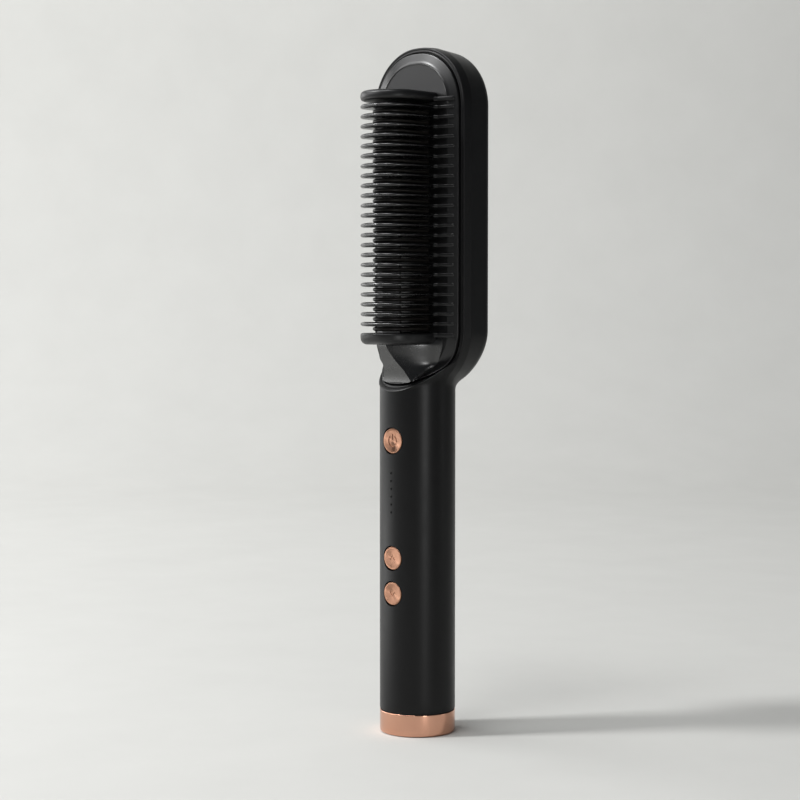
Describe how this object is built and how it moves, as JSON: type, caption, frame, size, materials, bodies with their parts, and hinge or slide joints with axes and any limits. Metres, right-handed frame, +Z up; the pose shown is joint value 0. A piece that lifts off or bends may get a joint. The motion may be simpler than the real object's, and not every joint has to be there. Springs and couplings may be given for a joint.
{
  "type": "hair straightening brush",
  "caption": "Free-standing cordless straightening brush: round handle with push buttons, long rounded head, cool outer comb ribs and heated inner blades.",
  "frame": {"origin": "centre of the end cap's flat underside, on the handle's axis", "axes": "+Z up the handle towards the head; -Y towards the comb side; +X to the right of a person facing the comb"},
  "size_m": [0.0524, 0.0479, 0.2889],
  "materials": {
    "soft_black": "soft-touch lacquer, matte",
    "comb_black": "satin moulded",
    "coated_aluminium": "dark ceramic coating, satin",
    "heater_ceramic": "unglazed",
    "mica": "dull sheet",
    "spring_steel": "plain",
    "screw_steel": "zinc plated",
    "bright_metal": "bright",
    "sensor_bead": "dipped resin",
    "heat_resin": "moulded",
    "lead_red": "silicone sleeve",
    "lead_dark": "sleeve",
    "chassis_grey": "moulded",
    "cell_sleeve": "shrink sleeve",
    "nickel": "nickel plated",
    "board_green": "solder mask",
    "chip_black": "moulded",
    "switch_grey": "moulded",
    "plunger_white": "moulded",
    "rose_metal": "anodised rose gold, spun",
    "rose_cap": "anodised rose gold, satin",
    "lamp_white": "clear resin",
    "clear_guide": "moulded clear",
    "plug_black": "moulded",
    "gasket_rubber": "matte"
  },
  "bodies": {
    "brush": {"housing": "soft_black", "comb_guard": "comb_black", "heated_comb": "coated_aluminium", "heating_element": "heater_ceramic", "mica_sheet": "mica", "element_clamp": "spring_steel", "clamp_screws": "screw_steel", "thermal_fuse": "bright_metal", "thermistor": "sensor_bead", "heat_shield": "heat_resin", "shield_screws": "screw_steel", "heater_leads": "lead_red", "chassis": "chassis_grey", "lower_cell": "cell_sleeve", "upper_cell": "cell_sleeve", "cell_contacts": "nickel", "control_board": "board_green", "board_screws": "screw_steel", "board_components": "chip_black", "tact_switches": "switch_grey", "indicator_leds": "lamp_white", "light_guide": "clear_guide", "charge_leads": "lead_dark", "charging_board": "board_green", "charging_port": "nickel", "cap_plug": "plug_black", "chassis_screws": "screw_steel", "cap_gasket": "gasket_rubber", "end_cap": "rose_cap"},
    "power_key": {"power_button": "rose_metal", "power_plunger": "plunger_white"},
    "up_key": {"up_button": "rose_metal", "up_plunger": "plunger_white"},
    "down_key": {"down_button": "rose_metal", "down_plunger": "plunger_white"}
  },
  "joints": [
    {"name": "power_press", "type": "slide", "parent": "brush", "child": "power_key", "axis": [0, 1, 0], "range_m": [0, 0.0005], "stiffness_N_per_m": 400},
    {"name": "up_press", "type": "slide", "parent": "brush", "child": "up_key", "axis": [0, 1, 0], "range_m": [0, 0.0005], "stiffness_N_per_m": 400},
    {"name": "down_press", "type": "slide", "parent": "brush", "child": "down_key", "axis": [0, 1, 0], "range_m": [0, 0.0005], "stiffness_N_per_m": 400}
  ]
}
